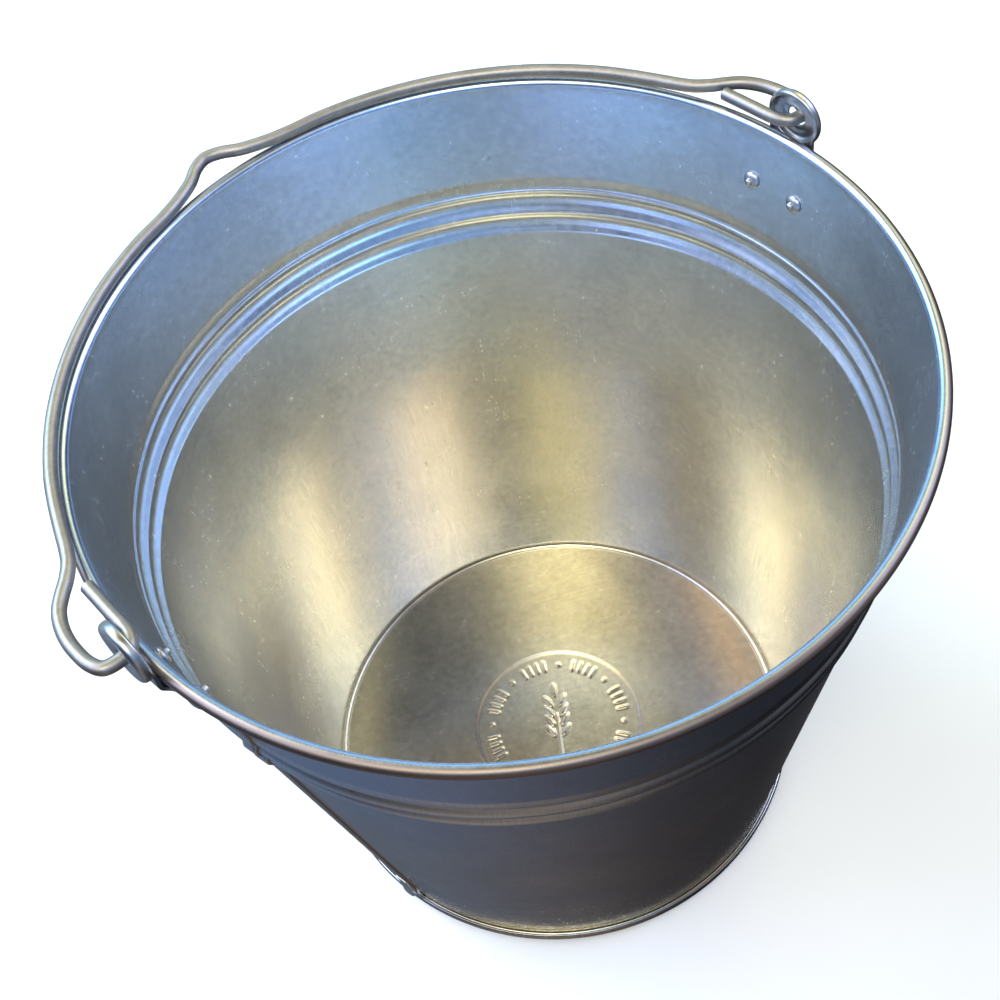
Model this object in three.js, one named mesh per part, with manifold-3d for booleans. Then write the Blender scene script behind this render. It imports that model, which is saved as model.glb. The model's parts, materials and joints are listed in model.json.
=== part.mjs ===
// Twelve-litre feed bucket in galvanised sheet steel, in millimetres, +Z up.
// Origin: on the bucket's axis, in the plane that the foot hoop stands on.
// The ears stand at +X and -X, and the bail lies folded down towards +Y.
import * as THREE from 'three';
import { mergeVertices } from 'three/addons/utils/BufferGeometryUtils.js';
import Module from 'manifold-3d';

const wasm = await Module();
wasm.setup();

// ---------------------------------------------------------------- dimensions
const HEIGHT = 256;             // foot to the top of the rolled rim
const RIM_RADIUS = 152;         // outside of the rolled rim
const BASE_RADIUS = 101.8;      // outside of the wall at its lower edge
const SHEET = 0.6;              // body and bottom sheet
const GAP = 0.3;                // between pieces that touch
const FACETS = 60;              // around the bucket, shared so that nested cones stay parallel

const CURL_RADIUS = 2.45;       // outside of the rolled rim's section
const RIM_WIRE_RADIUS = 1.35;   // stiffening wire inside the roll
const CURL_END = -135;          // degrees round the roll where the sheet's edge stops, leaving a slit

// Swaged beads: depth below the rim of each groove line and crest, with the bulge there
const BEADS = [
  [69.3, 0], [64.6, 1.6], [59.8, 0.1], [54.8, 1.8], [49.6, 0.1], [48.4, 0.9], [43.2, 0],
];

const SEAM_ANGLE = -171.5;      // degrees, just beside the -X ear
const SEAM_WIDTH = 6.5;
const SEAM_RISE = 1.3;          // four layers of sheet, pressed flat on the outside
const SEAM_FOOT = 12;           // lower end, above the foot hoop

const HOOP_SHEET = 0.8;
const HOOP_HEIGHT = 7;
const HOOP_LIP = 5;             // width of the flat ring that the bucket stands on
const FLANGE_HEIGHT = 5.5;      // upturned edge of the bottom plate
const EMBLEM_RADIUS = 38;       // round pressed panel in the middle of the bottom
const EMBLEM_RISE = 0.5;

const HINGE_RISE = 6;           // hinge line above the rim
const HINGE_FORWARD = 1.5;      // the ears stand this far in front of the bucket's middle
const DISC_RADIUS = 11.6;       // dished disc of an ear
const DISC_FACE = 156.7;        // outer face of the disc, from the axis
const DISC_DEPTH = 4;
const HOLE_RADIUS = 3.9;
const EAR_SHEET = 1.2;
const TAB_HALF_WIDTH = 15.5;
const TAB_FOOT = 28;            // lower edge of the riveted tab, below the rim
const TAB_NECK = 10;            // shoulder of the tab, below the rim
const RIVET_DEPTH = 23;         // below the rim
const RIVET_SPREAD = 10.5;      // half the spacing of a pair
const RIVET_SHANK = 2;
const RIVET_HEAD = 4;           // outside
const RIVET_INNER_HEAD = 3.4;

const BAIL_WIRE = 2.5;          // radius
const BAIL_TILT = 1.2;          // degrees below level when folded down on the rim
const BOW_RADIUS = 150.3;       // of the long stretch on top of the rim
const BOW_LEAN = 1.5;           // the bow stands this far left of the ears' middle

// ---------------------------------------------------------------- materials
const galvanised = (color, roughness) =>
  new THREE.MeshStandardMaterial({ color, roughness, metalness: 1 });

// ------------------------------------------------------------------- helpers
const rad = THREE.MathUtils.degToRad;
const CURL_CENTRE = { r: RIM_RADIUS - CURL_RADIUS, z: HEIGHT - CURL_RADIUS };
const CAVITY_RADIUS = CURL_RADIUS - SHEET;
const PLATE_UNDERSIDE = HOOP_SHEET + GAP;
const PLATE_TOP = PLATE_UNDERSIDE + SHEET;
const WALL_FOOT = PLATE_TOP + GAP;
const WALL_SLOPE =
  (CURL_CENTRE.r - CAVITY_RADIUS - BASE_RADIUS) / (CURL_CENTRE.z - WALL_FOOT);
const HINGE_Z = HEIGHT + HINGE_RISE;

// Outer face of the plain conical wall at a height
const wallRadius = (z) => BASE_RADIUS + WALL_SLOPE * (z - WALL_FOOT);

// Turned solid about +Z: the outline runs up its outer side and down its inner side
function turned(outline, facets = FACETS) {
  const points = outline.map(([r, z]) => new THREE.Vector2(r, z));
  points.push(points[0].clone());
  return new THREE.LatheGeometry(points, facets).rotateX(Math.PI / 2);
}

// Turned solid about +X, from [radius, x] pairs
function turnedAboutX(outline, facets) {
  return turned(outline, facets).rotateY(Math.PI / 2);
}

function toSolid(geometry) {
  const bare = geometry.clone();
  for (const name of Object.keys(bare.attributes)) {
    if (name !== 'position') bare.deleteAttribute(name);
  }
  const merged = mergeVertices(bare, 1e-4);
  return new wasm.Manifold(new wasm.Mesh({
    numProp: 3,
    vertProperties: new Float32Array(merged.attributes.position.array),
    triVerts: new Uint32Array(merged.index.array),
  }));
}

function toGeometry(solid) {
  const mesh = solid.getMesh();
  const geometry = new THREE.BufferGeometry();
  geometry.setAttribute('position', new THREE.BufferAttribute(mesh.vertProperties, 3));
  geometry.setIndex(new THREE.BufferAttribute(mesh.triVerts, 1));
  geometry.computeVertexNormals();
  return geometry;
}

function piece(name, geometry, material, parent) {
  const mesh = new THREE.Mesh(geometry, material);
  mesh.name = name;
  parent.add(mesh);
  return mesh;
}

// ---------------------------------------------------------------------- body
// Outer face of the wall between two heights, with the beads, pushed out by a distance
function wallOutline(bottom, top, push) {
  const heights = BEADS.map(([depth, bulge]) => [HEIGHT - depth, bulge]);
  const inside = heights.filter(([z]) => z > bottom && z < top);
  return [[bottom, 0], ...inside, [top, 0]]
    .map(([z, bulge]) => [wallRadius(z) + bulge + push, z]);
}

function curlPoint(radius, degrees) {
  const a = rad(degrees);
  return [CURL_CENTRE.r + radius * Math.cos(a), CURL_CENTRE.z + radius * Math.sin(a)];
}

function bodyOutline() {
  const wall = wallOutline(WALL_FOOT, CURL_CENTRE.z, 0).slice(0, -1);
  const lining = wallOutline(WALL_FOOT, CURL_CENTRE.z, -SHEET).slice(0, -1);
  const roll = [];
  for (let a = 180; a >= CURL_END; a -= 45) roll.push(a);
  return [
    ...wall,
    ...roll.map((a) => curlPoint(CAVITY_RADIUS, a)),
    ...roll.reverse().map((a) => curlPoint(CURL_RADIUS, a)),
    ...lining.reverse(),
  ];
}

// Folded side seam: a strip that follows the wall and its beads
function sideSeam() {
  const top = HEIGHT - 9;
  const skin = wallOutline(SEAM_FOOT, top, SEAM_RISE);
  const root = wallOutline(SEAM_FOOT, top, -SHEET / 2).reverse();
  const layer = toSolid(turned([...skin, ...root]));
  const strip = new THREE.BoxGeometry(2 * RIM_RADIUS, SEAM_WIDTH, 2 * HEIGHT)
    .translate(RIM_RADIUS, 0, 0)
    .rotateZ(rad(SEAM_ANGLE));
  return layer.intersect(toSolid(strip));
}

// Place of a rivet in the frame of the +X ear: its own +X axis leaves the wall squarely
const rivetTilt = Math.atan(WALL_SLOPE);
function rivetPlace(side) {
  const z = HEIGHT - RIVET_DEPTH;
  const r = wallRadius(z);
  return new THREE.Matrix4().makeRotationZ(Math.asin(side * RIVET_SPREAD / r))
    .multiply(new THREE.Matrix4().makeTranslation(r, 0, z))
    .multiply(new THREE.Matrix4().makeRotationY(rivetTilt));
}

function rivetHole(side) {
  const drill = new THREE.CylinderGeometry(RIVET_SHANK + GAP, RIVET_SHANK + GAP, 16, 10)
    .rotateZ(Math.PI / 2);
  return drill.applyMatrix4(rivetPlace(side));
}

const SIDES = [-1, 1];
const EAR_SWEEP = Math.asin(HINGE_FORWARD / DISC_FACE);
const EARS = [
  { name: 'right', turn: -EAR_SWEEP, back: 1 },
  { name: 'left', turn: Math.PI + EAR_SWEEP, back: -1 },
];

function bodyShell() {
  let shell = toSolid(turned(bodyOutline())).add(sideSeam());
  for (const { turn } of EARS) {
    for (const side of SIDES) {
      shell = shell.subtract(toSolid(rivetHole(side).rotateZ(turn)));
    }
  }
  return toGeometry(shell);
}

function rimWire() {
  const section = [];
  for (let k = 0; k < 6; k += 1) section.push(curlPoint(RIM_WIRE_RADIUS, 60 * k));
  return turned(section);
}

// Pan with an upturned flange outside the wall's lower edge and a raised round panel
function bottomPlate() {
  const inner = GAP;
  const outer = GAP + SHEET;
  const panelTop = PLATE_TOP + EMBLEM_RISE;
  return turned([
    [0, PLATE_UNDERSIDE],
    [wallRadius(PLATE_UNDERSIDE) + outer, PLATE_UNDERSIDE],
    [wallRadius(FLANGE_HEIGHT) + outer, FLANGE_HEIGHT],
    [wallRadius(FLANGE_HEIGHT) + inner, FLANGE_HEIGHT],
    [wallRadius(PLATE_TOP) + inner, PLATE_TOP],
    [EMBLEM_RADIUS + 1, PLATE_TOP],
    [EMBLEM_RADIUS, panelTop],
    [0, panelTop],
  ]);
}

// Hoop around the flange, with its lower edge turned in under the bottom
function footHoop() {
  const inner = 2 * GAP + SHEET;
  const outer = inner + HOOP_SHEET;
  const lip = wallRadius(0) + outer - HOOP_LIP;
  return turned([
    [lip, 0],
    [wallRadius(0) + outer, 0],
    [wallRadius(HOOP_HEIGHT) + outer, HOOP_HEIGHT],
    [wallRadius(HOOP_HEIGHT) + inner, HOOP_HEIGHT],
    [wallRadius(HOOP_SHEET) + inner, HOOP_SHEET],
    [lip, HOOP_SHEET],
  ]);
}

// ---------------------------------------------------------------------- ears
// Flat outline of tab and neck, seen along X, cut through the whole thickness
function tabBlank() {
  const w = TAB_HALF_WIDTH;
  const foot = HEIGHT - TAB_FOOT;
  const shoulder = HEIGHT - TAB_NECK;
  const crown = HEIGHT - 4.5;
  const blank = new THREE.Shape();
  blank.moveTo(-w + 5, foot);
  blank.lineTo(w - 5, foot);
  blank.absarc(w - 5, foot + 5, 5, -Math.PI / 2, 0, false);
  blank.lineTo(w, shoulder - 5);
  blank.absarc(w - 5, shoulder - 5, 5, 0, Math.PI / 2, false);
  blank.lineTo(DISC_RADIUS - 2, crown);
  blank.lineTo(2 - DISC_RADIUS, crown);
  blank.lineTo(5 - w, shoulder);
  blank.absarc(5 - w, shoulder - 5, 5, Math.PI / 2, Math.PI, false);
  blank.lineTo(-w, foot + 5);
  blank.absarc(5 - w, foot + 5, 5, Math.PI, 1.5 * Math.PI, false);
  return new THREE.ExtrudeGeometry(blank, { depth: 60, bevelEnabled: false, curveSegments: 4 })
    .rotateX(Math.PI / 2)
    .rotateZ(Math.PI / 2)
    .translate(RIM_RADIUS - 40, 0, 0);
}

// Strap that hugs the wall, then steps out past the rolled rim
function earStrap() {
  const step = HEIGHT - 14;
  const clear = HEIGHT - 6.5;
  const face = RIM_RADIUS + 2 * GAP;
  const inner = [
    [wallRadius(HEIGHT - 40) + GAP, HEIGHT - 40],
    [wallRadius(step) + GAP, step],
    [face, clear],
    [face, HEIGHT],
  ];
  const outer = inner.map(([r, z], i) => [r + EAR_SHEET, i === 1 ? z - 0.6 : z]);
  return turned([...outer, ...inner.reverse()]);
}

// Dished disc, hollow side towards the bucket, with a rolled lip and a hole for the bail
function earDisc() {
  const back = DISC_FACE;
  const lip = DISC_FACE - DISC_DEPTH;
  const floor = DISC_FACE - EAR_SHEET;
  const R = DISC_RADIUS;
  return turnedAboutX([
    [HOLE_RADIUS, floor],
    [R - 3.2, floor],
    [R - 1.4, floor - 1.1],
    [R - 1.4, lip],
    [R - 0.5, lip],
    [R, lip + 0.9],
    [R, back - 1.6],
    [R - 1.6, back],
    [HOLE_RADIUS, back],
  ], 24).translate(0, 0, HINGE_Z);
}

function ear() {
  let solid = toSolid(earStrap()).intersect(toSolid(tabBlank()));
  solid = solid.add(toSolid(earDisc()));
  for (const side of SIDES) solid = solid.subtract(toSolid(rivetHole(side)));
  return toGeometry(solid);
}

// Rivet through ear and wall: domed head outside, domed head with a small nub inside
function rivet() {
  const innerSeat = -SHEET - GAP;
  const outerSeat = GAP + EAR_SHEET + GAP;
  return turnedAboutX([
    [0, innerSeat - 3],
    [1.1, innerSeat - 2.8],
    [1.3, innerSeat - 2.1],
    [2.7, innerSeat - 1.4],
    [RIVET_INNER_HEAD, innerSeat],
    [RIVET_SHANK, innerSeat],
    [RIVET_SHANK, outerSeat],
    [RIVET_HEAD, outerSeat],
    [3.1, outerSeat + 1.6],
    [0, outerSeat + 2.1],
  ], 10);
}

// ---------------------------------------------------------------------- bail
// Half of the wire in its own plane, [along the hinge line, away from it]:
// free end and through the ear, then round its outside, onto the rim, round the bow
// and up the peaked carrying hump
function bailHalf(lean) {
  const leg = [
    [148.7, 29.8],
    [149.2, 16],
    [149.5, 8],
    [150.4, 3.2],
    [152.4, 0.1],
    [155, -0.8],
    [157.2, -1.1],
  ];
  const shoulder = [
    [161, 0.3],
    [163.1, 4.6],
    [163.6, 10.6],
    [163.1, 17.3],
    [161.4, 23.6],
    [158.6, 28.9],
    [154.9, 32.9],
    [150.4, 37],
    [146.4, 41.8],
    [143.6, 47.4],
    [141.2, 53.2],
    [138.6, 59.4],
    [135.2, 67],
    [129.8, 77.4],
    [118.4, 94.2],
  ];
  const bow = [105, 91, 76, 60, 44].map((u) => [u, HINGE_FORWARD + Math.sqrt(BOW_RADIUS ** 2 - u * u)]);
  const hump = [[31, 148.4], [22, 151.4], [12.4, 156], [5.7, 161], [0, 163]];
  return [...leg, ...[...shoulder, ...bow, ...hump].map(([u, v]) => [u + lean, v])];
}

function bail() {
  const right = bailHalf(-BOW_LEAN);
  const left = bailHalf(BOW_LEAN).map(([u, v]) => [-u, v]).reverse();
  const plane = [...right, ...left.slice(1)];
  const path = new THREE.CatmullRomCurve3(plane.map(([u, v]) => new THREE.Vector3(u, v, 0)));
  path.getUtoTmapping = (u) => u;
  const section = new THREE.Shape();
  for (let k = 0; k < 8; k += 1) {
    const x = BAIL_WIRE * Math.cos(rad(45 * k));
    const y = BAIL_WIRE * Math.sin(rad(45 * k));
    if (k === 0) section.moveTo(x, y);
    else section.lineTo(x, y);
  }
  section.closePath();
  return new THREE.ExtrudeGeometry(section, { steps: 2 * (plane.length - 1), extrudePath: path });
}

// ------------------------------------------------------------------ assembly
const bucket = new THREE.Group();
piece('body_shell', bodyShell(), galvanised(0xaeb4b8, 0.32), bucket);
piece('rim_wire', rimWire(), galvanised(0x9a9da0, 0.4), bucket);
piece('bottom_plate', bottomPlate(), galvanised(0xa9aaa2, 0.38), bucket);
piece('foot_hoop', footHoop(), galvanised(0x9ba0a4, 0.36), bucket);

for (const { name, turn, back } of EARS) {
  const group = new THREE.Group();
  group.rotation.z = turn;
  bucket.add(group);
  piece(`ear_${name}`, ear(), galvanised(0x98a3b0, 0.34), group);
  for (const side of SIDES) {
    const label = side === back ? 'back' : 'front';
    piece(`rivet_${name}_${label}`, rivet(), galvanised(0xb9bcbf, 0.3), group)
      .applyMatrix4(rivetPlace(side));
  }
}

const bailMesh = piece('bail', bail(), galvanised(0xb4b4b2, 0.35), bucket);
bailMesh.position.set(0, -HINGE_FORWARD, HINGE_Z);
bailMesh.rotation.x = -rad(BAIL_TILT);

export default bucket;
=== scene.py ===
"""Looks of a twelve-litre galvanised feed bucket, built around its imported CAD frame.

Sizes are in millimetres in the shared frame, with +Z up and the ears at +X and -X. MM turns
them into Blender's metres. The wall, bottom, hoop, ears, rivets and bail are remade here with
round sections and pressed detail; the wire inside the rolled rim stays the CAD node."""

import json
import math

import bmesh
import bpy
import numpy as np
from mathutils import Matrix, Vector

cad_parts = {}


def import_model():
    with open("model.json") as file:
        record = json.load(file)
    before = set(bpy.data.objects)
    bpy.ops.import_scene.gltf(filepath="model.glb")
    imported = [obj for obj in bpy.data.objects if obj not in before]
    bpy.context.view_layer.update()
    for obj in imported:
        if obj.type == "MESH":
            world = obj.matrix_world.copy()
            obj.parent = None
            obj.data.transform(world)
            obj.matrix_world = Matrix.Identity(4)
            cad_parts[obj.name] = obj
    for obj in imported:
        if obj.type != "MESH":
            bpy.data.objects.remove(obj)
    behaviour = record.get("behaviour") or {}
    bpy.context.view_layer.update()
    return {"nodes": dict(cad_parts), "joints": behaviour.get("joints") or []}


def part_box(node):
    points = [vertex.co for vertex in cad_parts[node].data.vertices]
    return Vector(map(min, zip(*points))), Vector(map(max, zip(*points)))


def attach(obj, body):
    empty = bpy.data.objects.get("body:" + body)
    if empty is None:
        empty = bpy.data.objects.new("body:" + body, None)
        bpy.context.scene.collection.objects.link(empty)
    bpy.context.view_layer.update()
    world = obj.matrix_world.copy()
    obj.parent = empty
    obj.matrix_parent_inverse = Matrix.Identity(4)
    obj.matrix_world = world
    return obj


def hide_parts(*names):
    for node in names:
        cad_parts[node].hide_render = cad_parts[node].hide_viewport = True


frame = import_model()

MM = 0.001

# ------------------------------------------------------------------ sizes
# From the frame
shell_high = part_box("body_shell")[1] / MM
hoop_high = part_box("foot_hoop")[1] / MM
ear_low, ear_high = (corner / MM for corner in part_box("ear_right"))
HINGE = Vector(frame["joints"][0]["pos_m"]) / MM
HEIGHT = shell_high.z
RIM_RADIUS = shell_high.x
HOOP_HEIGHT = hoop_high.z
DISC_RADIUS = ear_high.z - HINGE.z
DISC_EDGE_ROUNDING = 1.6        # the disc's face ends this far inside its outer edge
EAR_SWEEP = math.atan(-HINGE.y / ear_high.x)     # the ears stand a little in front of the middle
DISC_FACE = ear_high.x - (DISC_RADIUS - DISC_EDGE_ROUNDING) * math.sin(EAR_SWEEP)
TAB_FOOT = ear_low.z
TAB_HALF_WIDTH = (ear_high.y - ear_low.y) / 2

# Sheet metal sections
SHEET = 0.6
GAP = 0.3
BASE_RADIUS = 101.8             # outside of the wall at its lower edge
CURL_RADIUS = 2.45              # outside of the rolled rim
CURL_END = -135                 # degrees round the roll where the sheet's edge stops
HOOP_SHEET = 0.8
HOOP_LIP = 5
FLANGE_HEIGHT = 5.5
EAR_SHEET = 1.2
EAR_CORNER = 5                  # radius of the tab's lower corners
EAR_STEP = (HEIGHT - 15, HEIGHT - 6)             # where the strap steps out past the rolled rim
HOLE_RADIUS = 3.9

CAVITY_RADIUS = CURL_RADIUS - SHEET
CURL_R = RIM_RADIUS - CURL_RADIUS
CURL_Z = HEIGHT - CURL_RADIUS
PLATE_UNDERSIDE = HOOP_SHEET + GAP
PLATE_TOP = PLATE_UNDERSIDE + SHEET
WALL_FOOT = PLATE_TOP + GAP
WALL_SLOPE = (CURL_R - CAVITY_RADIUS - BASE_RADIUS) / (CURL_Z - WALL_FOOT)

# Swaged beads: depth below the rim of lower and upper groove line, the bulge between them,
# and the crest's place as a share of the way up
BEADS = [(69.3, 59.8, 1.6, 0.5), (59.8, 49.6, 1.8, 0.5), (49.6, 43.2, 0.6, 0.2)]
BEAD_SHARPNESS = 1.2            # over 1, the ridges between the beads have a small fillet

# Unevenness of hand-fed rolled sheet: height, waves round the wall, phase, and the height over
# which the waves drift round by one radian
SHEET_WAVES = [(0.10, 3, 0.7, 90), (0.06, 7, 2.1, -60), (0.035, 13, 0, 37), (0.03, 19, 1.3, 23)]

SEAM_ANGLE = math.radians(-171.5)
SEAM_HALF_WIDTH = 3.25
SEAM_RISE = 1.3
SEAM_FOOT = 12
SEAM_TOP = HEIGHT - 9

PANEL_RADIUS = 38               # raised round panel in the middle of the bottom
PANEL_RISE = 0.5
GROOVE_RADIUS = 100             # ring groove in the bottom, beside the wall
GROOVE_DEPTH = 0.5
GROOVE_WIDTH = 0.55
PRESSED_RING_RADIUS = 31        # middle of the border of bars and dots
MOTIF_TURN = math.radians(-38)

RIVET_Z = HEIGHT - 23
RIVET_SPREAD = 10.5             # each rivet's distance from its ear's middle line
BAIL_WIRE = 2.5                 # radius of the wire
BAIL_TILT = math.radians(1.2)   # slope of the bail from the hinge line down to the rim
BOW_RADIUS = 150.3              # of the long stretch on top of the rim
BOW_LEAN = 1.5                  # the bow stands this far left of the ears' middle


def wall_radius(z):
    """Outer face of the plain conical wall."""
    return BASE_RADIUS + WALL_SLOPE * (z - WALL_FOOT)


def smooth_step(low, high, value):
    """0 before low, 1 past high, and an even S between; low may be the larger one."""
    t = np.clip((np.asarray(value, float) - low) / (high - low), 0, 1)
    return t * t * (3 - 2 * t)


def arc(centre, radius, start, end, steps):
    """Points on a round stretch of an outline, with angles in degrees."""
    angles = np.radians(np.linspace(start, end, steps + 1))
    return [(centre[0] + radius * math.cos(a), centre[1] + radius * math.sin(a)) for a in angles]


# ------------------------------------------------------------------ mesh helpers
def make_object(name, vertices, faces, sharp_degrees=38):
    """A smooth-shaded mesh object from millimetre vertices, with creases past an angle."""
    mesh = bpy.data.meshes.new(name)
    mesh.from_pydata([tuple(v) for v in np.asarray(vertices, float) * MM], [], faces)
    cleaner = bmesh.new()
    cleaner.from_mesh(mesh)
    bmesh.ops.recalc_face_normals(cleaner, faces=cleaner.faces)
    cleaner.to_mesh(mesh)
    cleaner.free()
    mesh.shade_smooth()
    mesh.set_sharp_from_angle(angle=math.radians(sharp_degrees))
    made = bpy.data.objects.new(name, mesh)
    bpy.context.scene.collection.objects.link(made)
    return made


def ring_faces(rows, columns, close_rows=True):
    """Quads between rings of vertices; the last ring joins the first if close_rows."""
    faces = []
    for i in range(rows if close_rows else rows - 1):
        a, b = i * columns, (i + 1) % rows * columns
        for j in range(columns):
            k = (j + 1) % columns
            faces.append((a + j, a + k, b + k, b + j))
    return faces


def lathe_about_x(outline, columns):
    """Closed or axis-to-axis outline of (radius, x), turned about +X."""
    vertices, faces, rings = [], [], []
    angles = np.linspace(0, 2 * math.pi, columns, endpoint=False)
    for radius, x in outline:
        if radius < 1e-6:
            rings.append([len(vertices)] * columns)
            vertices.append((x, 0, 0))
        else:
            rings.append(list(range(len(vertices), len(vertices) + columns)))
            vertices += [(x, radius * math.cos(a), radius * math.sin(a)) for a in angles]
    closed = outline[0][0] > 1e-6 and outline[-1][0] > 1e-6
    for i in range(len(rings) if closed else len(rings) - 1):
        low, high = rings[i], rings[(i + 1) % len(rings)]
        for j in range(columns):
            k = (j + 1) % columns
            corners = list(dict.fromkeys((low[j], low[k], high[k], high[j])))
            if len(corners) > 2:
                faces.append(corners)
    return np.array(vertices), faces


def apply_modifiers(target):
    """Turns the object's modifiers into its mesh."""
    graph = bpy.context.evaluated_depsgraph_get()
    mesh = bpy.data.meshes.new_from_object(target.evaluated_get(graph))
    target.modifiers.clear()
    target.data = mesh


def round_edges(target, width, angle=40, segments=2):
    """Bevels the edges sharper than an angle."""
    bevel = target.modifiers.new("edges", "BEVEL")
    bevel.width = width * MM
    bevel.segments = segments
    bevel.limit_method = "ANGLE"
    bevel.angle_limit = math.radians(angle)
    apply_modifiers(target)


def unite(target, other):
    """Joins two overlapping closed meshes into one skin."""
    union = target.modifiers.new("union", "BOOLEAN")
    union.operation = "UNION"
    union.solver = "EXACT"
    union.object = other
    apply_modifiers(target)
    bpy.data.objects.remove(other)


def join(target, *others):
    """Adds the others' meshes to the target's, as they are."""
    joined = bmesh.new()
    joined.from_mesh(target.data)
    for other in others:
        other.data.transform(other.matrix_world)
        joined.from_mesh(other.data)
        bpy.data.objects.remove(other)
    joined.to_mesh(target.data)
    joined.free()
    return target


# ------------------------------------------------------------------ body shell
def bead_bulge(z):
    """How far the beads push the wall out at a height."""
    depth = HEIGHT - z
    for lower, upper, rise, crest in BEADS:
        if upper < depth < lower:
            share = (lower - depth) / (lower - upper)
            if share < crest:
                turn = 0.5 * share / crest
            else:
                turn = 0.5 + 0.5 * (share - crest) / (1 - crest)
            return rise * math.sin(math.pi * turn) ** BEAD_SHARPNESS
    return 0.0


def wall_heights():
    """Heights of the wall's rings, close together across the beads."""
    plain_step, bead_step = 6, 0.32
    bead_foot, bead_top = HEIGHT - BEADS[0][0] - 1, HEIGHT - BEADS[-1][1] + 1
    foot = [WALL_FOOT, WALL_FOOT + 3, WALL_FOOT + 7, SEAM_FOOT - 0.5, SEAM_FOOT, SEAM_FOOT + 0.5]
    plain = np.arange(SEAM_FOOT + plain_step, bead_foot, plain_step)
    beads = np.arange(bead_foot, bead_top, bead_step)
    top = [*np.arange(bead_top + 1.5, SEAM_TOP - 1.5, 4), SEAM_TOP - 0.6, SEAM_TOP, SEAM_TOP + 0.6]
    return [*foot, *plain, *beads, *top, CURL_Z - 2.5]


def sheet_wave(angle, z):
    """Slight unevenness of the sheet, fading out at the foot and the rim."""
    fade = smooth_step(WALL_FOOT, 22, z) * smooth_step(HEIGHT - 4, HEIGHT - 26, z)
    ripple = sum(rise * np.sin(waves * angle + phase + z / drift)
                 for rise, waves, phase, drift in SHEET_WAVES)
    return fade * ripple


def seam_rise(across, z):
    """Height of the folded side seam over the wall, at a distance across from its middle."""
    strip = 1 - smooth_step(SEAM_HALF_WIDTH - 0.35, SEAM_HALF_WIDTH + 0.1, np.abs(across))
    length = smooth_step(SEAM_FOOT - 0.3, SEAM_FOOT + 0.3, z)
    return SEAM_RISE * strip * length * smooth_step(SEAM_TOP + 0.6, SEAM_TOP - 0.6, z)


def seam_groove(across):
    """Fine line inside, where the two edges of the sheet are hooked together."""
    depth = width = 0.28
    return depth * np.exp(-((across - SEAM_HALF_WIDTH) / width) ** 2)


def body_shell():
    """Wall, beads and rolled rim as one closed section carried round, with the folded seam."""
    heights = wall_heights()
    roll = np.linspace(180, CURL_END, 36)
    outer = [(wall_radius(z) + bead_bulge(z), z, "outer") for z in heights]
    inner = [(wall_radius(z) + bead_bulge(z) - SHEET, z, "inner") for z in heights]
    cavity = [(*arc((CURL_R, CURL_Z), CAVITY_RADIUS, a, a, 0)[0], "roll") for a in roll[::2]]
    curl = [(*arc((CURL_R, CURL_Z), CURL_RADIUS, a, a, 0)[0], "roll") for a in roll[::-1]]
    outline = [*outer, *cavity, *curl, *inner[::-1]]

    seam_side = [1.4, 2.7, 3.0, 3.2, 3.4, 3.8, 4.6]      # columns close together at its edges
    across = np.array([*[-place for place in seam_side[::-1]], 0, *seam_side])
    seam_share, far_off = math.radians(3.4), 99.0
    around = np.linspace(SEAM_ANGLE + seam_share, SEAM_ANGLE + 2 * math.pi - seam_share, 336)
    vertices = []
    for radius, z, side in outline:
        angles = np.concatenate([SEAM_ANGLE + across / radius, around])
        offset = sheet_wave(angles, z)
        distance = np.concatenate([across, np.full(len(around), far_off)])
        if side == "outer":
            offset = offset + seam_rise(distance, z)
        if side == "inner":
            offset = offset + seam_groove(distance)
        r = radius + offset
        vertices.append(np.stack([r * np.cos(angles), r * np.sin(angles), np.full_like(r, z)], 1))
    columns = len(across) + len(around)
    faces = ring_faces(len(outline), columns)
    shell = make_object("body_wall", np.concatenate(vertices), faces, sharp_degrees=50)
    return join(shell, seam_lip())


def seam_lip():
    """Lower end of the seam's top layer, which stands a little off the wall."""
    half, thickness, length = 2.9, 0.55, 19
    overhang, stand_off, proud = 1.6, 2.15, 0.25
    tip_length, tip_share = 2.4, 0.35
    steps = 14
    vertices = []
    for k in range(steps + 1):
        share = k / steps
        z = SEAM_FOOT - overhang + length * share
        lift = stand_off * (1 - share) ** 2 + SEAM_RISE - thickness + proud
        rounding = math.sqrt(max(0.0, 1 - (1 - min(1, share * length / tip_length)) ** 2))
        width = half * (tip_share + (1 - tip_share) * rounding)
        r = wall_radius(z) + lift
        for side, out in ((-1, 0), (1, 0), (1, 1), (-1, 1)):
            vertices.append((r + out * thickness, side * width, z))
    faces = ring_faces(steps + 1, 4, close_rows=False)
    faces += [(3, 2, 1, 0), tuple(4 * steps + i for i in range(4))]
    lip = make_object("seam_lip", vertices, faces)
    lip.data.transform(Matrix.Rotation(SEAM_ANGLE, 4, "Z"))
    round_edges(lip, 0.12)
    return lip


# ------------------------------------------------------------------ bottom plate
def stroke(distance, half_width, rise=0.45, edge=0.55):
    """Rounded raised line, from the distance to its middle line."""
    return rise * (1 - smooth_step(half_width - edge, half_width + edge, distance))


def segment_distance(x, y, start, end):
    """Distance from a straight line between two points."""
    along = np.array(end, float) - np.array(start, float)
    share = ((x - start[0]) * along[0] + (y - start[1]) * along[1]) / (along @ along)
    share = np.clip(share, 0, 1)
    return np.hypot(x - start[0] - share * along[0], y - start[1] - share * along[1])


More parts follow.
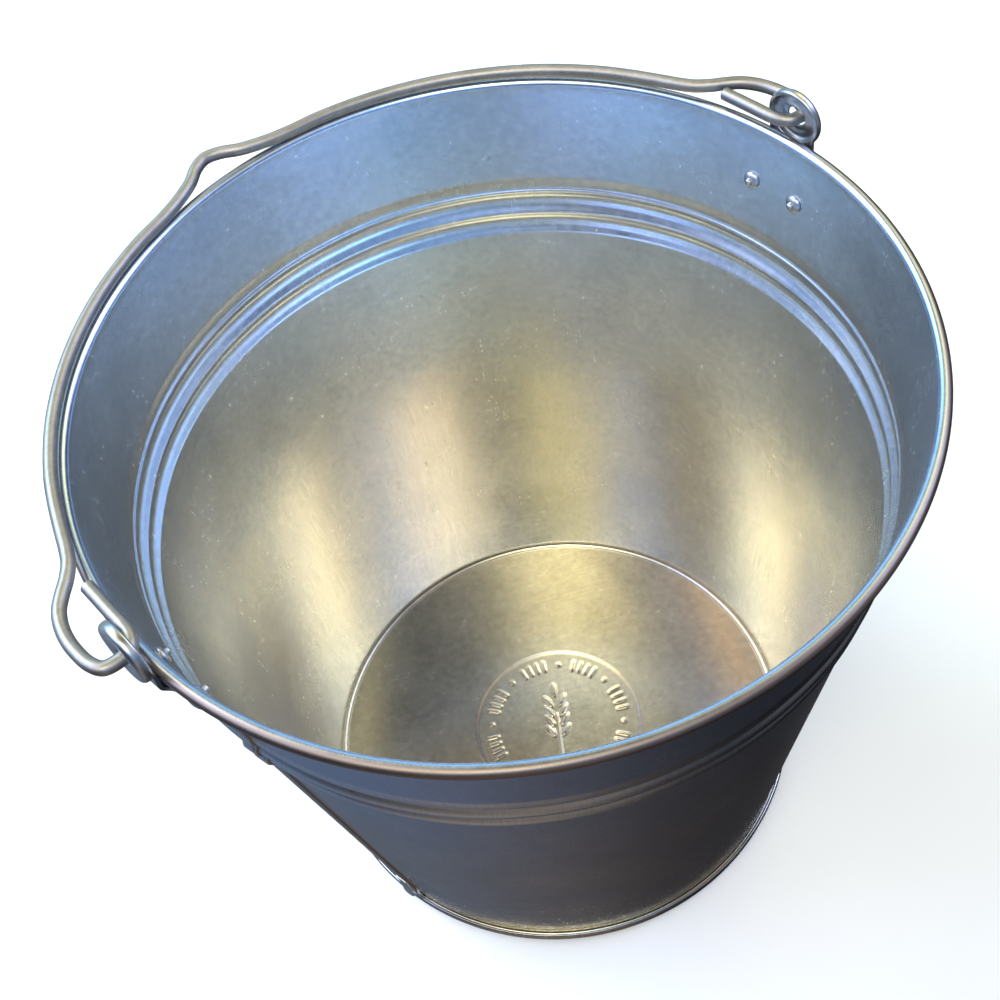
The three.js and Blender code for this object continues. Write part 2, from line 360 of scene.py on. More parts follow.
def pressed_ring(x, y):
    """Border of short radial bars in groups of four, with a dot between the groups."""
    groups, slots = 8, 7
    bar_half_length, bar_half_width, dot_radius = 2.1, 0.75, 1.0
    slot_angle = 2 * math.pi / (groups * slots)
    angle = np.arctan2(y, x)
    nearest = np.round(angle / slot_angle)
    centre = nearest * slot_angle
    kind = np.mod(nearest, slots)
    along = x * np.cos(centre) + y * np.sin(centre)
    across = -x * np.sin(centre) + y * np.cos(centre)
    off_middle = along - PRESSED_RING_RADIUS
    bar = np.hypot(np.maximum(np.abs(off_middle) - bar_half_length, 0), across)
    dot = np.hypot(off_middle, across)
    beside_dot = (kind == 1) | (kind == slots - 1)
    bars = np.where(beside_dot, 0, stroke(bar, bar_half_width))
    return np.where(kind == 0, stroke(dot, dot_radius), bars)


def grain_ear(x, y):
    """A plain ear of grain: a stem, four pairs of seeds and one at the tip."""
    u = x * math.cos(MOTIF_TURN) + y * math.sin(MOTIF_TURN)
    v = -x * math.sin(MOTIF_TURN) + y * math.cos(MOTIF_TURN)
    rise = stroke(segment_distance(u, v, (0, -18), (0, 4)), 0.6)
    off_stem, lowest, spacing, seed_lean = 3.4, -4, 5.2, 32
    seeds = [(side * off_stem, lowest + spacing * k, side * seed_lean)
             for k in range(4) for side in (-1, 1)]
    tip = (0, 17.5, 0)
    seed_half_length, seed_half_width, seed_rise = 3.6, 1.5, 0.6
    for su, sv, lean in [*seeds, tip]:
        a = math.radians(lean)
        along = (u - su) * math.sin(a) + (v - sv) * math.cos(a)
        across = (u - su) * math.cos(a) - (v - sv) * math.sin(a)
        seed = np.hypot(along / seed_half_length, across / seed_half_width)
        rise = np.maximum(rise, seed_rise * (1 - smooth_step(0.55, 1.15, seed)))
    return rise


def emboss(x, y):
    """Height of the pressing above the plain plate."""
    r = np.hypot(x, y)
    slope = 0.9
    panel = PANEL_RISE * (1 - smooth_step(PANEL_RADIUS - slope, PANEL_RADIUS + slope, r))
    return panel + pressed_ring(x, y) + grain_ear(x, y)


def plate_edge(r):
    """Shallow ring groove beside the wall."""
    return -GROOVE_DEPTH * math.exp(-((r - GROOVE_RADIUS) / GROOVE_WIDTH) ** 2)


def bottom_plate():
    """Pan with an upturned flange outside the wall's lower edge."""
    columns = 420
    flange_in, flange_out = GAP, GAP + SHEET
    outer_foot = wall_radius(PLATE_UNDERSIDE) + flange_out
    inner_foot = wall_radius(PLATE_TOP) + flange_in
    pressed_step, plain_step, groove_step = 0.62, 6, 0.3
    rings = [
        0.8,
        *np.arange(1.6, PANEL_RADIUS + 2.4, pressed_step),
        *np.arange(PANEL_RADIUS + 5, GROOVE_RADIUS - 4, plain_step),
        *np.arange(GROOVE_RADIUS - 3, GROOVE_RADIUS + 1.2, groove_step),
    ]
    top = [(r, PLATE_TOP, True) for r in rings]
    flange_wall, broken, bend = wall_radius(FLANGE_HEIGHT), 0.15, 0.9
    edge = [
        (inner_foot, PLATE_TOP),
        (flange_wall + flange_in, FLANGE_HEIGHT - broken),
        (flange_wall + flange_in + broken, FLANGE_HEIGHT),
        (flange_wall + flange_out - broken, FLANGE_HEIGHT),
        (flange_wall + flange_out, FLANGE_HEIGHT - broken),
        *arc((outer_foot - bend, PLATE_UNDERSIDE + bend), bend, 0, -90, 5),
    ]
    under = [(r, PLATE_UNDERSIDE, True) for r in rings[::-3]]
    outline = [*top, *[(r, z, False) for r, z in edge], *under]
    angles = np.linspace(0, 2 * math.pi, columns, endpoint=False)
    vertices = []
    for r, z, pressed in outline:
        x, y = r * np.cos(angles), r * np.sin(angles)
        height = emboss(x, y) + plate_edge(r) if pressed else np.zeros(columns)
        vertices.append(np.stack([x, y, z + height], 1))
    faces = ring_faces(len(outline), columns, close_rows=False)
    last = (len(outline) - 1) * columns
    centre = [[0, 0, PLATE_TOP + emboss(0, 0)], [0, 0, PLATE_UNDERSIDE + emboss(0, 0)]]
    count = len(outline) * columns
    for j in range(columns):
        k = (j + 1) % columns
        faces.append((count, j, k))
        faces.append((count + 1, last + k, last + j))
    vertices = np.concatenate([*vertices, centre])
    return make_object("bottom_pan", vertices, faces, sharp_degrees=40)


# ------------------------------------------------------------------ foot hoop
def foot_hoop():
    """Rolled strip with two low ridges, its lower edge turned in under the bottom."""
    inner = 2 * GAP + SHEET
    outer = inner + HOOP_SHEET
    bend, broken, ridge_rise, ridge_steps = 1.1, 0.2, 0.5, 22

    def ridged(share):
        z = bend + share * (HOOP_HEIGHT - 1.5)
        ridge = ridge_rise * abs(math.sin(2 * math.pi * share)) ** 0.9
        return wall_radius(z) + outer + ridge, z

    foot = wall_radius(0) + outer
    lip = foot - HOOP_LIP
    top_wall = wall_radius(HOOP_HEIGHT)
    outline = [
        (lip, broken), (lip + broken, 0), (foot - 1.4, 0),
        *arc((foot - bend, bend), bend, -80, -15, 5),
        *[ridged(k / ridge_steps) for k in range(ridge_steps + 1)],
        (top_wall + outer - broken, HOOP_HEIGHT),
        (top_wall + inner + broken, HOOP_HEIGHT),
        (top_wall + inner, HOOP_HEIGHT - broken),
        (wall_radius(HOOP_SHEET) + inner, HOOP_SHEET),
        (lip + broken, HOOP_SHEET), (lip, HOOP_SHEET - broken),
    ]
    columns = 300
    angles = np.linspace(0, 2 * math.pi, columns, endpoint=False)
    rings = [np.stack([r * np.cos(angles), r * np.sin(angles), np.full(columns, z)], 1)
             for r, z in outline]
    faces = ring_faces(len(outline), columns)
    return make_object("hoop_band", np.concatenate(rings), faces, sharp_degrees=50)


# ------------------------------------------------------------------ ears
def strap_middle(z):
    """Middle of the strap's thickness: on the wall, then stepped out past the rolled rim."""
    on_wall = wall_radius(z) + GAP + EAR_SHEET / 2
    clear = RIM_RADIUS + 2 * GAP + EAR_SHEET / 2
    return on_wall + (clear - on_wall) * smooth_step(*EAR_STEP, z)


def strap_half_width(z):
    """Round lower corners, a tab of even width, and a shoulder in to the neck."""
    neck = DISC_RADIUS - 1.4
    shoulder = HEIGHT - 10
    if z < TAB_FOOT + EAR_CORNER:
        rise = EAR_CORNER - (z - TAB_FOOT)
        return TAB_HALF_WIDTH - EAR_CORNER + math.sqrt(max(0, EAR_CORNER**2 - rise**2))
    if z < shoulder - EAR_CORNER:
        return TAB_HALF_WIDTH
    tab_share = float(1 - smooth_step(shoulder - EAR_CORNER, shoulder + 1, z))
    return neck + (TAB_HALF_WIDTH - neck) * tab_share


def ear_strap():
    """Tab and neck, up to the dished disc's edge."""
    corner_rows = TAB_FOOT + EAR_CORNER * (1 - np.cos(np.linspace(0, math.pi / 2, 8)))
    tab_rows = np.arange(TAB_FOOT + EAR_CORNER + 2, EAR_STEP[0], 3)
    step_rows = np.arange(EAR_STEP[0], HEIGHT - 4, 1)
    rows = [*corner_rows, *tab_rows, *step_rows]
    across = np.linspace(-1, 1, 25)
    vertices = []
    for z in rows:
        for u in across:
            y = u * strap_half_width(z)
            vertices.append((y, z))
    neck_foot = rows[-1]
    meet = DISC_RADIUS - 0.8
    for share in (0.25, 0.5, 0.75, 1):
        for u in across:
            y = u * strap_half_width(neck_foot)
            top = HINGE.z - math.sqrt(meet**2 - y**2)
            vertices.append((y, neck_foot + share * (top - neck_foot)))
    placed = []
    for y, z in vertices:
        r = strap_middle(z)
        placed.append((math.sqrt(r**2 - y**2), y, z))
    columns = len(across)
    faces = []
    for i in range(len(placed) // columns - 1):
        for j in range(columns - 1):
            a = i * columns + j
            faces.append((a, a + 1, a + columns + 1, a + columns))
    strap = make_object("strap", placed, faces)
    solid = strap.modifiers.new("sheet", "SOLIDIFY")
    solid.thickness = EAR_SHEET * MM
    solid.offset = 0
    apply_modifiers(strap)
    round_edges(strap, 0.28)
    return strap


def ear_disc():
    """Dished disc, open towards the bucket, with a thick rolled lip and a boss round the hole."""
    back, R = DISC_FACE, DISC_RADIUS
    floor = back - EAR_SHEET
    lip = back - 4
    boss, broken = 0.55, 0.35
    boss_edge, slope_foot, boss_foot = HOLE_RADIUS + 1.6, HOLE_RADIUS + 2.6, HOLE_RADIUS + 3.2
    outer_bend, inner_bend, lip_bend = 2.1, 1.4, 0.95
    outline = [
        (HOLE_RADIUS, back - boss - broken),
        (HOLE_RADIUS + broken, back - boss),
        (boss_edge, back - boss),
        (slope_foot, back - 0.1),
        (boss_foot, back),
        *arc((R - outer_bend, back - outer_bend), outer_bend, 90, 0, 6),
        *arc((R - lip_bend, lip + lip_bend), lip_bend, 0, -180, 8),
        *arc((R - 3.3, floor - inner_bend), inner_bend, 0, 90, 4),
        (boss_foot, floor),
        (slope_foot, floor - 0.1),
        (boss_edge, floor - boss),
        (HOLE_RADIUS + broken, floor - boss),
        (HOLE_RADIUS, floor - boss + broken),
    ]
    vertices, faces = lathe_about_x(outline, 64)
    return make_object("disc", vertices + np.array([0, 0, HINGE.z]), faces)


def ear(name, turn):
    """Strap and disc as one pressing, turned to its side of the bucket."""
    pressing = ear_strap()
    unite(pressing, ear_disc())
    pressing.data.transform(Matrix.Rotation(turn, 4, "Z"))
    pressing.data.shade_smooth()
    pressing.data.set_sharp_from_angle(angle=math.radians(35))
    pressing.name = name
    return pressing


def rivet(name, turn, side):
    """Through ear and wall: a low dome outside, and a dome with a small driven nub inside."""
    inner_seat = -SHEET - GAP
    outer_seat = 2 * GAP + EAR_SHEET
    shank, dome_radius, dome_rise, dome_edge = 2, 4, 1.7, 0.35
    head_radius, head_rise, head_edge = 3.4, 1.35, 0.3
    dome = [(dome_radius * math.sin(a), outer_seat + dome_edge + dome_rise * math.cos(a))
            for a in np.linspace(1.57, 0.25, 9)]
    head = [(head_radius * math.sin(a), inner_seat - head_edge - head_rise * math.cos(a))
            for a in np.linspace(0.46, 1.57, 8)]
    nub = [(0, inner_seat - 3), (0.95, inner_seat - 2.95), (1.3, inner_seat - 2.6),
           (1.4, inner_seat - 1.75)]
    outline = [
        *nub, *head, (head_radius, inner_seat), (shank, inner_seat), (shank, outer_seat),
        (dome_radius, outer_seat), *dome, (0, outer_seat + dome_edge + dome_rise),
    ]
    vertices, faces = lathe_about_x(outline, 32)
    made = make_object(name, vertices, faces, sharp_degrees=50)
    r = wall_radius(RIVET_Z)
    place = (
        Matrix.Rotation(turn + math.asin(side * RIVET_SPREAD / r), 4, "Z")
        @ Matrix.Translation(Vector((r, 0, RIVET_Z)) * MM)
        @ Matrix.Rotation(math.atan(WALL_SLOPE), 4, "Y")
    )
    made.data.transform(place)
    return made


# ------------------------------------------------------------------ bail
def bail_half(lean):
    """Half of the wire in its own plane, from its free end to the top of the carrying hump:
    along the hinge line, and away from it."""
    leg = [
        (148.7, 29.8), (149.2, 16), (149.5, 8), (150.4, 3.2), (152.4, 0.1), (155, -0.8),
        (157.2, -1.1),
    ]
    shoulder = [
        (161, 0.3), (163.1, 4.6), (163.6, 10.6), (163.1, 17.3), (161.4, 23.6), (158.6, 28.9),
        (154.9, 32.9), (150.4, 37), (146.4, 41.8), (143.6, 47.4), (141.2, 53.2), (138.6, 59.4),
        (135.2, 67), (129.8, 77.4), (118.4, 94.2),
    ]
    bow = [(u, math.sqrt(BOW_RADIUS**2 - u**2) - HINGE.y) for u in (105, 91, 76, 60, 44)]
    hump = [(31, 148.4), (22, 151.4), (12.4, 156), (5.7, 161), (0, 163)]
    return [*leg, *[(u + lean, v) for u, v in [*shoulder, *bow, *hump]]]


def bail_route():
    """The wire's whole middle line, from the right free end to the left one."""
    left = [(-u, v) for u, v in bail_half(BOW_LEAN)]
    return [*bail_half(-BOW_LEAN), *left[-2::-1]]


def through_points(points, steps):
    """Centripetal Catmull-Rom curve through the points."""
    p = np.array(points, float)
    p = np.concatenate([[2 * p[0] - p[1]], p, [2 * p[-1] - p[-2]]])
    curve = []
    for a, b, c, d in zip(p[:-3], p[1:-2], p[2:-1], p[3:]):
        ab, bc, cd = (math.sqrt(np.linalg.norm(v)) for v in (b - a, c - b, d - c))
        start = ((b - a) / ab - (c - a) / (ab + bc) + (c - b) / bc) * bc
        end = ((c - b) / bc - (d - b) / (bc + cd) + (d - c) / cd) * bc
        for s in np.linspace(0, 1, steps, endpoint=False):
            curve.append(
                b * (2 * s**3 - 3 * s**2 + 1) + start * (s**3 - 2 * s**2 + s)
                + c * (3 * s**2 - 2 * s**3) + end * (s**3 - s**2)
            )
    curve.append(p[-2])
    return np.array(curve)


def bail():
    """One length of round wire, cut off square at both ends with a small chamfer."""
    line = through_points(bail_route(), 7)
    ahead = np.gradient(line, axis=0)
    ahead /= np.linalg.norm(ahead, axis=1)[:, None]
    side = np.stack([-ahead[:, 1], ahead[:, 0]], 1)
    chamfer = 0.4
    line = np.concatenate([[line[0]], [line[0] + chamfer * ahead[0]], line[1:-1],
                           [line[-1] - chamfer * ahead[-1]], [line[-1]]])
    side = np.concatenate([[side[0]], side, [side[-1]]])
    columns = 24
    turns = np.linspace(0, 2 * math.pi, columns, endpoint=False)
    vertices = []
    for i, (point, out) in enumerate(zip(line, side)):
        radius = BAIL_WIRE - chamfer if i in (0, len(line) - 1) else BAIL_WIRE
        for a in turns:
            u, v = point + out * radius * math.cos(a)
            vertices.append((u, v, radius * math.sin(a)))
    faces = ring_faces(len(line), columns, close_rows=False)
    faces.append(tuple(range(columns))[::-1])
    faces.append(tuple((len(line) - 1) * columns + j for j in range(columns)))
    wire = make_object("bail_wire", vertices, faces)
    wire.data.transform(Matrix.Translation(HINGE * MM) @ Matrix.Rotation(-BAIL_TILT, 4, "X"))
    return wire


# ------------------------------------------------------------------ materials
# Painted reflections: the wall's colour is tinted blue above the beads for reflected sky, and warm
# below them for reflected lamp light
SKY_REFLECTION_TINT = (0.85, 1.01, 1.27)
WARM_REFLECTION_TINT = (1.06, 1.0, 0.88)
WARM_REFLECTION_TOP = HEIGHT - 41.5        # the painted warm reflection ends at the beads
FAINT_WARM_REFLECTION = 0.45               # its strength just under the beads
FULL_WARM_REFLECTION_HEIGHTS = (WARM_REFLECTION_TOP - 30, WARM_REFLECTION_TOP - 110)     # heights over which it comes to full strength
# Painted shade: a dark brown on the outer half of the rolled rim stands in for its dark reflection;
# the roughening there is rubbing wear
RIM_PAINTED_SHADE = (0.29, 0.23, 0.20)
RIM_ROUGHENING = 0.16
RIM_SHADE_AND_RUB_HEIGHTS = (HEIGHT - 5.6, HEIGHT - 5.0)    # the rim's painted dark shade and its rubbed roughness start between these heights
RIM_SHADE_AND_RUB_RADII = (CURL_R - 0.6, CURL_R + 1.0)      # and between these distances from the axis
INNER_DULLNESS = 0.08           # share of the inner side that doesn't reflect as metal
STAIN_COLOUR = (0.30, 0.29, 0.27)
STAIN_PEAKS = (0.76, 0.80)      # only the highest values of the noise are stains
STAIN_STRENGTH = 0.5
WORN_COLOUR = (0.80, 0.79, 0.77)
WORN_POLISH = 0.10
WORN_EDGES = (0.51, 0.60)       # pointiness from which edges are rubbed, and fully rubbed
BUMP_STRENGTH = 0.35
UNROLLED_RADIUS = 125.0         # at which distances round the axis are true to scale

# Noise scale per millimetre, detail and roughness
CLOUDS = (0.035, 4.0, 0.6)
MOTTLE = (0.35, 3.0, 0.6)
GRAIN_LINES = (1.0, 4.0, 0.65)
GRAIN_CONTRAST = 0.08
SPECKS = (0.45, 1.0, 0.5)


class Nodes:
    """Short names for the nodes that the materials use."""

    def __init__(self, material):
        material.use_nodes = True
        self.tree = material.node_tree
        self.tree.nodes.clear()

    def add(self, kind, inputs=(), **settings):
        node = self.tree.nodes.new(kind)
        for key, value in settings.items():
            setattr(node, key, value)
        for socket, value in dict(inputs).items():
            if isinstance(value, bpy.types.NodeSocket):
                self.tree.links.new(value, node.inputs[socket])
            else:
                node.inputs[socket].default_value = value
        return node

    def math(self, operation, a, b=0.0):
        return self.add("ShaderNodeMath", {0: a, 1: b}, operation=operation).outputs[0]

    def vector_math(self, operation, a, b=(0, 0, 0)):
        return self.add("ShaderNodeVectorMath", {0: a, 1: b}, operation=operation)

    def noise(self, vector, scale, detail=3.0, roughness=0.55):
        inputs = {"Vector": vector, "Scale": scale, "Detail": detail, "Roughness": roughness}
        return self.add("ShaderNodeTexNoise", inputs).outputs["Fac"]

    def ramp(self, value, stops):
        node = self.add("ShaderNodeValToRGB", {"Fac": value})
        band = node.color_ramp
        while len(band.elements) < len(stops):
            band.elements.new(0.5)
        for element, (position, colour) in zip(band.elements, stops):
            element.position = position
            element.color = (*colour, 1)
        return node.outputs["Color"]

    def spread(self, value, low, high, to_low, to_high):
        inputs = {"Value": value, 1: low, 2: high, 3: to_low, 4: to_high}
        return self.add("ShaderNodeMapRange", inputs).outputs["Result"]

    def mix(self, factor, a, b, blend="MIX"):
        node = self.add("ShaderNodeMix", data_type="RGBA", blend_type=blend)
        for socket, value in ((0, factor), (6, a), (7, b)):
            if isinstance(value, bpy.types.NodeSocket):
                self.tree.links.new(value, node.inputs[socket])
            else:
                node.inputs[socket].default_value = value if socket == 0 else (*value, 1)
        return node.outputs[2]


def unrolled_coordinates(nodes, turn):
    """Wall coordinates in millimetres: along the sheet's circumference, and up."""
    place = nodes.add("ShaderNodeTexCoord").outputs["Object"]
    turned = nodes.add("ShaderNodeMapping", {"Vector": place, "Rotation": (0, 0, turn),
                                             "Scale": (1 / MM,) * 3}).outputs[0]
    split = nodes.add("ShaderNodeSeparateXYZ", {0: turned})
    x, y, z = (split.outputs[i] for i in range(3))
    arc_length = nodes.math("MULTIPLY", nodes.math("ARCTAN2", y, x), UNROLLED_RADIUS)
    return nodes.add("ShaderNodeCombineXYZ", {0: arc_length, 1: z, 2: 0.0}).outputs[0]


def flat_coordinates(nodes, turn=0.0):
    """Place in millimetres, turned about the axis."""
    place = nodes.add("ShaderNodeTexCoord").outputs["Object"]
    return nodes.add("ShaderNodeMapping", {"Vector": place, "Rotation": (0, 0, turn),
                                           "Scale": (1 / MM,) * 3}).outputs[0]


def stretched(nodes, vector, scale):
    """Coordinates scaled unevenly, so that a noise on them turns into a grain."""
    return nodes.add("ShaderNodeMapping", {"Vector": vector, "Scale": scale}).outputs[0]


def warm_reflection_cover(nodes, place):
    """Share of the painted warm reflection: faint from the beads down, stronger in the lower half."""
    height = nodes.add("ShaderNodeSeparateXYZ", {0: place}).outputs[1]
    waver = nodes.spread(nodes.noise(place, 0.04), 0.3, 0.7, -1.0, 1.0)
    line = nodes.math("ADD", height, waver)
    slow = nodes.math("ADD", height, nodes.math("MULTIPLY", waver, 12.0))
    faint = nodes.spread(line, WARM_REFLECTION_TOP, WARM_REFLECTION_TOP - 3, 0.0, FAINT_WARM_REFLECTION)
    return nodes.math("ADD", faint, nodes.spread(slow, *FULL_WARM_REFLECTION_HEIGHTS, 0.0, 1 - FAINT_WARM_REFLECTION))


def rim_shade_and_rub_cover(nodes):
    """1 on the outer half of the rolled rim, which hands and hooks rub rougher and where its dark
    shade is painted, and 0 elsewhere.
    """
    place = nodes.add("ShaderNodeTexCoord").outputs["Object"]
    flat = nodes.vector_math("MULTIPLY", place, (1 / MM, 1 / MM, 0)).outputs[0]
    radius = nodes.vector_math("LENGTH", flat).outputs["Value"]
    height = nodes.add("ShaderNodeSeparateXYZ", {0: place}).outputs[2]
    low, high = (edge * MM for edge in RIM_SHADE_AND_RUB_HEIGHTS)
    raised = nodes.spread(height, low, high, 0.0, 1.0)
    return nodes.math("MULTIPLY", raised, nodes.spread(radius, *RIM_SHADE_AND_RUB_RADII, 0.0, 1.0))


def inner_side(nodes):
    """1 on faces turned towards the bucket's axis, and 0 on faces turned away from it."""
    place = nodes.add("ShaderNodeTexCoord").outputs["Object"]
    normal = nodes.add("ShaderNodeNewGeometry").outputs["Normal"]
    turned_away = nodes.vector_math("DOT_PRODUCT", place, normal).outputs["Value"]
    blend = 0.02
    return nodes.spread(turned_away, blend, -blend, 0.0, 1.0)


def zinc(name, coordinates, grain, tint=(0.72, 0.73, 0.73), shade=(0.63, 0.65, 0.67),
         roughness=(0.17, 0.27), grain_depth=0.06, wear=0.0, wall_painted_light_and_wear=False):
    """Galvanised steel: cloudy zinc, a fine drawn grain, small stains and rubbed edges; on the wall
    also painted reflections and a painted dark rim.
    """
    material = bpy.data.materials.new(name)
    nodes = Nodes(material)
    place = coordinates(nodes)
    clouds = nodes.noise(place, *CLOUDS)
    mottle = nodes.noise(place, *MOTTLE)
    lines = nodes.noise(stretched(nodes, place, grain), *GRAIN_LINES)
    specks = nodes.noise(place, *SPECKS)
    cloudy = nodes.math("ADD", nodes.math("MULTIPLY", clouds, 0.55),
                        nodes.math("MULTIPLY", mottle, 0.45))
    colour = nodes.ramp(cloudy, [(0.36, shade), (0.62, tint)])
    streak = nodes.spread(lines, 0.3, 0.7, 1 - GRAIN_CONTRAST, 1 + GRAIN_CONTRAST)
    grey = nodes.add("ShaderNodeCombineXYZ", {0: streak, 1: streak, 2: streak}).outputs[0]
    colour = nodes.mix(1.0, colour, grey, "MULTIPLY")
    if wall_painted_light_and_wear:
        # Painted reflections: blue for reflected sky above the beads, warm for reflected lamp light
        # below them
        sky_reflected = nodes.mix(1.0, colour, SKY_REFLECTION_TINT, "MULTIPLY")
        warm_reflected = nodes.mix(1.0, colour, WARM_REFLECTION_TINT, "MULTIPLY")
        colour = nodes.mix(warm_reflection_cover(nodes, place), sky_reflected, warm_reflected)
        # Painted shade: the outer half of the rolled rim is darkened to a dark brown
        rim_shade_and_rubbing = rim_shade_and_rub_cover(nodes)
        colour = nodes.mix(rim_shade_and_rubbing, colour, RIM_PAINTED_SHADE)
    stain = nodes.spread(specks, *STAIN_PEAKS, 0.0, STAIN_STRENGTH)
    colour = nodes.mix(stain, colour, STAIN_COLOUR)
    rough = nodes.spread(cloudy, 0.32, 0.68, roughness[0], roughness[1])
    rough = nodes.math("ADD", rough, nodes.spread(lines, 0.3, 0.7, 0.04, -0.03))
    if wall_painted_light_and_wear:
        rough = nodes.math("ADD", rough, nodes.math("MULTIPLY", rim_shade_and_rubbing, RIM_ROUGHENING))
    if wear > 0:
        pointed = nodes.add("ShaderNodeNewGeometry").outputs["Pointiness"]
        rubbed = nodes.math("MULTIPLY", nodes.spread(pointed, *WORN_EDGES, 0.0, 1.0), wear)
        colour = nodes.mix(rubbed, colour, WORN_COLOUR)
        rough = nodes.math("SUBTRACT", rough, nodes.math("MULTIPLY", rubbed, WORN_POLISH))
    height = nodes.math("ADD", nodes.math("MULTIPLY", lines, grain_depth),
                        nodes.math("MULTIPLY", mottle, 0.015))
    bump = nodes.add("ShaderNodeBump", {"Height": height, "Strength": BUMP_STRENGTH, "Distance": MM})
    shader = nodes.add("ShaderNodeBsdfPrincipled", {
        "Base Color": colour, "Roughness": rough, "Metallic": 1.0,
        "Normal": bump.outputs["Normal"],
    })
    if wall_painted_light_and_wear:
        dulled = nodes.math("MULTIPLY", inner_side(nodes), INNER_DULLNESS)
        nodes.tree.links.new(nodes.math("SUBTRACT", 1.0, dulled), shader.inputs["Metallic"])
    nodes.add("ShaderNodeOutputMaterial", {"Surface": shader.outputs["BSDF"]})
    return material


def paint(piece, material):
    """Gives the piece this one material."""
    piece.data.materials.clear()
    piece.data.materials.append(material)


# ------------------------------------------------------------------ pieces
SEAM_WRAP = math.pi - SEAM_ANGLE         # puts the jump in the unrolled coordinates at the seam
PLATE_GRAIN = math.radians(29)


def rolled(nodes):
    return unrolled_coordinates(nodes, SEAM_WRAP)


def plate_grained(nodes):
    return flat_coordinates(nodes, PLATE_GRAIN)


wall_zinc = zinc("wall_zinc", rolled, (1.3, 0.05, 1.0), wall_painted_light_and_wear=True)
plate_zinc = zinc("plate_zinc", plate_grained, (0.05, 1.6, 1.0), tint=(0.70, 0.68, 0.65),
                  shade=(0.58, 0.56, 0.54), roughness=(0.18, 0.26), grain_depth=0.03)
hoop_zinc = zinc("hoop_zinc", rolled, (0.04, 1.5, 1.0), shade=(0.48, 0.48, 0.47), wear=0.7)
ear_zinc = zinc("ear_zinc", flat_coordinates, (0.4, 0.4, 0.4), tint=(0.58, 0.61, 0.65),
                shade=(0.48, 0.51, 0.55), wear=0.4, roughness=(0.26, 0.38))
rivet_zinc = zinc("rivet_zinc", flat_coordinates, (0.8, 0.8, 0.8), tint=(0.60, 0.61, 0.63),
                  shade=(0.48, 0.50, 0.54), wear=0.4, roughness=(0.30, 0.42))
bail_zinc = zinc("bail_zinc", flat_coordinates, (0.04, 0.6, 0.6), tint=(0.42, 0.40, 0.38),
                 shade=(0.33, 0.32, 0.31), roughness=(0.38, 0.50))
wire_zinc = zinc("wire_zinc", flat_coordinates, (0.3, 0.3, 0.3), shade=(0.45, 0.44, 0.43))

EARS = {"right": -EAR_SWEEP, "left": math.pi + EAR_SWEEP}
SIDES = (-1, 1)

pieces = [
    (body_shell(), "body_shell", "bucket", "body_sheet", wall_zinc),
    (bottom_plate(), "bottom_plate", "bucket", "bottom_sheet", plate_zinc),
    (foot_hoop(), "foot_hoop", "bucket", "hoop_strip", hoop_zinc),
    (bail(), "bail", "bail", "bail_wire", bail_zinc),
]
for where, turn in EARS.items():
    pieces.append((ear(f"ear_pressing_{where}", turn), f"ear_{where}", "bucket",
                   "ear_pressing", ear_zinc))
    for side in SIDES:
        end = "back" if side * math.cos(turn) > 0 else "front"
        node = f"rivet_{where}_{end}"
        pieces.append((rivet(f"{node}_head", turn, side), node, "bucket", "rivet_steel", rivet_zinc))

for piece, node, body, slot, material in pieces:
    paint(piece, material)
    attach(piece, body)
    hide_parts(node)
paint(frame["nodes"]["rim_wire"], wire_zinc)


# ------------------------------------------------------------------ floor, light, camera
BACKDROP = (0.95, 0.95, 0.95)
FLOOR_SIZE = 14                 # metres
FLOOR_DROP = 0.2                # millimetres below the hoop, so that the two don't touch
# Azimuth and elevation in degrees, sharpness, and colour times strength
SOFT_LAMPS = [
    (103, 36, 30, (1.9, 5.8, 8.6)),
    (140, 36, 16, (3.4, 4.2, 6.2)),
    (334, 36, 30, (3.8, 4.5, 7.0)),
    (15, 48, 30, (3.7, 3.3, 1.6)),
    (105, 48, 30, (5.8, 3.3, 0.5)),
    (195, 48, 30, (1.8, 1.7, 1.7)),
    (225, 48, 30, (1.4, 2.1, 3.5)),
    (285, 48, 30, (1.0, 0.7, 0.2)),
    (216, 60, 30, (5.4, 4.5, 1.6)),
    (255, 36, 6, (0.18, 0.36, 0.70)),
    (60, 22, 12, (0.5, 0.85, 1.15)),
    (235, -10, 12, (0.32, 0.25, 0.20)),
    (305, -8, 14, (0.32, 0.32, 0.33)),
    (60, -20, 7, (0.36, 0.37, 0.39)),
    (115, -20, 9, (0.36, 0.37, 0.39)),
    (140, -50, 8, (0.09, 0.15, 0.26)),
    (210, -50, 14, (0.26, 0.20, 0.15)),
    (180, -75, 8, (0.05, 0.04, 0.04)),
]


def floor():
    """Pale, nearly even floor, which the bucket's metal doesn't mirror."""
    bpy.ops.mesh.primitive_plane_add(size=FLOOR_SIZE, location=(0, 0, -FLOOR_DROP * MM))
    plane = bpy.context.object
    plane.name = "studio_floor"
    material = bpy.data.materials.new("pale_floor")
    nodes = Nodes(material)
    place = nodes.add("ShaderNodeTexCoord").outputs["Object"]
    mottle = nodes.noise(place, 6.0)
    colour = nodes.ramp(mottle, [(0.3, (0.86, 0.86, 0.86)), (0.7, (0.90, 0.90, 0.90))])
    shader = nodes.add("ShaderNodeBsdfPrincipled", {"Base Color": colour, "Roughness": 0.9})
    nodes.add("ShaderNodeOutputMaterial", {"Surface": shader.outputs["BSDF"]})
    paint(plane, material)
    plane.visible_glossy = False


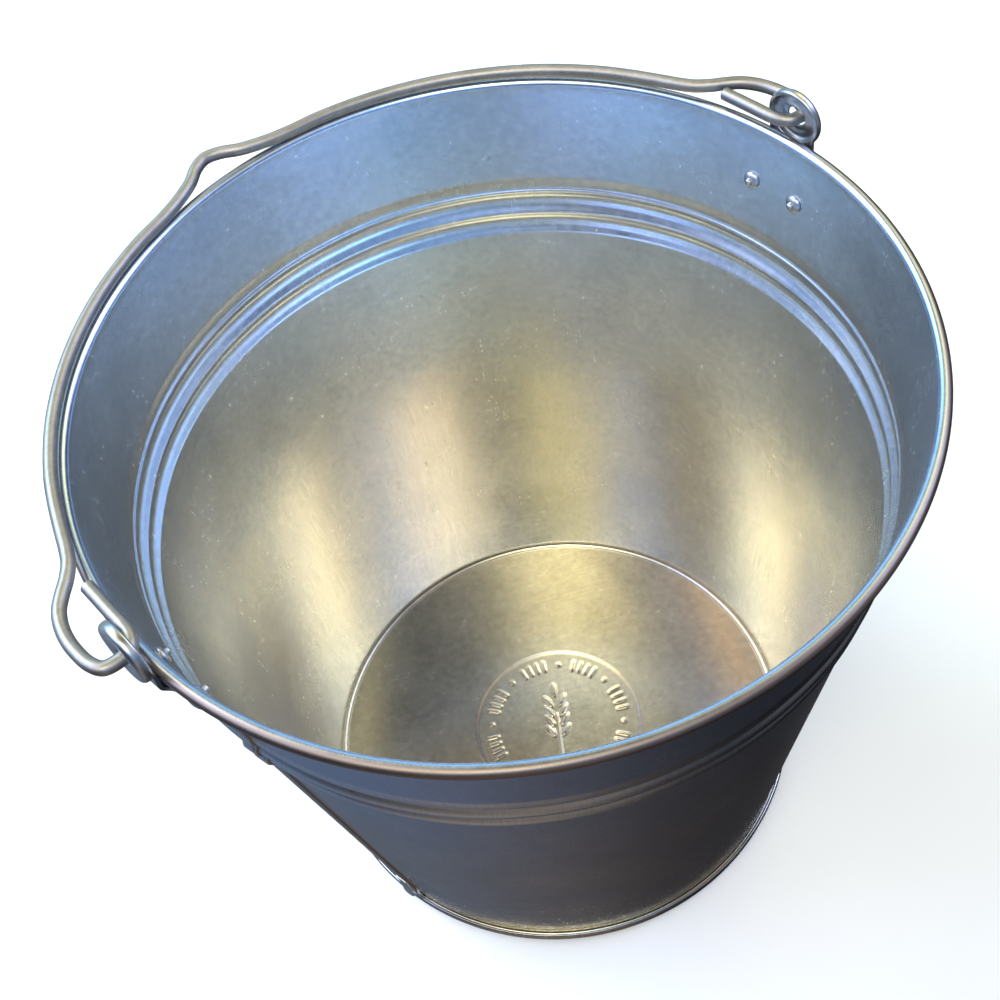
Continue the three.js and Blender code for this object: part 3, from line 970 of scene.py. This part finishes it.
def lamp_glow(nodes, direction, azimuth, elevation, sharpness, colour):
    """Light of a soft round patch far away; azimuth is counted from +X towards +Y."""
    a, e = math.radians(azimuth), math.radians(elevation)
    towards = (math.cos(a) * math.cos(e), math.sin(a) * math.cos(e), math.sin(e))
    facing = nodes.vector_math("DOT_PRODUCT", direction, towards).outputs["Value"]
    closeness = nodes.math("MULTIPLY", nodes.math("SUBTRACT", facing, 1.0), sharpness)
    glow = nodes.math("EXPONENT", closeness)
    return nodes.add("ShaderNodeVectorMath", {0: colour, "Scale": glow}, operation="SCALE").outputs[0]


def world():
    """Soft lamps light the scene, and the camera itself sees a plain backdrop."""
    studio = bpy.data.worlds.new("studio")
    studio.use_nodes = True
    nodes = Nodes(studio)
    direction = nodes.add("ShaderNodeTexCoord").outputs["Generated"]
    light = None
    for lamp in SOFT_LAMPS:
        glow = lamp_glow(nodes, direction, *lamp)
        if light is not None:
            glow = nodes.vector_math("ADD", light, glow).outputs[0]
        light = glow
    seen = nodes.add("ShaderNodeLightPath").outputs["Is Camera Ray"]
    shown = nodes.mix(seen, light, BACKDROP)
    back = nodes.add("ShaderNodeBackground", {"Color": shown, "Strength": 1.0})
    nodes.add("ShaderNodeOutputWorld", {"Surface": back.outputs[0]})
    bpy.context.scene.world = studio


# Fitted to the photographed rim, beads and foot
CAMERA_PLACE = (-208.66, -295.19, 667.34)
CAMERA_AZIMUTH = -0.5985        # radians, from -Y towards +X
CAMERA_ELEVATION = 0.9311
CAMERA_ROLL = 0.1987
CAMERA_LENS = 57.84
CAMERA_SENSOR = 36


def camera():
    """Camera at the photograph's place, turned by azimuth, elevation and roll."""
    data = bpy.data.cameras.new("camera")
    data.sensor_width = CAMERA_SENSOR
    data.lens = CAMERA_LENS
    holder = bpy.data.objects.new("camera", data)
    a, e = CAMERA_AZIMUTH, CAMERA_ELEVATION
    back = Vector((math.sin(a) * math.cos(e), -math.cos(a) * math.cos(e), math.sin(e)))
    right = Vector((math.cos(a), math.sin(a), 0))
    up = back.cross(right)
    c, s = math.cos(CAMERA_ROLL), math.sin(CAMERA_ROLL)
    axes = Matrix((c * right - s * up, s * right + c * up, back)).transposed()
    holder.matrix_world = Matrix.Translation(Vector(CAMERA_PLACE) * MM) @ axes.to_4x4()
    bpy.context.scene.collection.objects.link(holder)
    bpy.context.scene.camera = holder


floor()
world()
camera()
bpy.context.scene.view_settings.view_transform = "Standard"
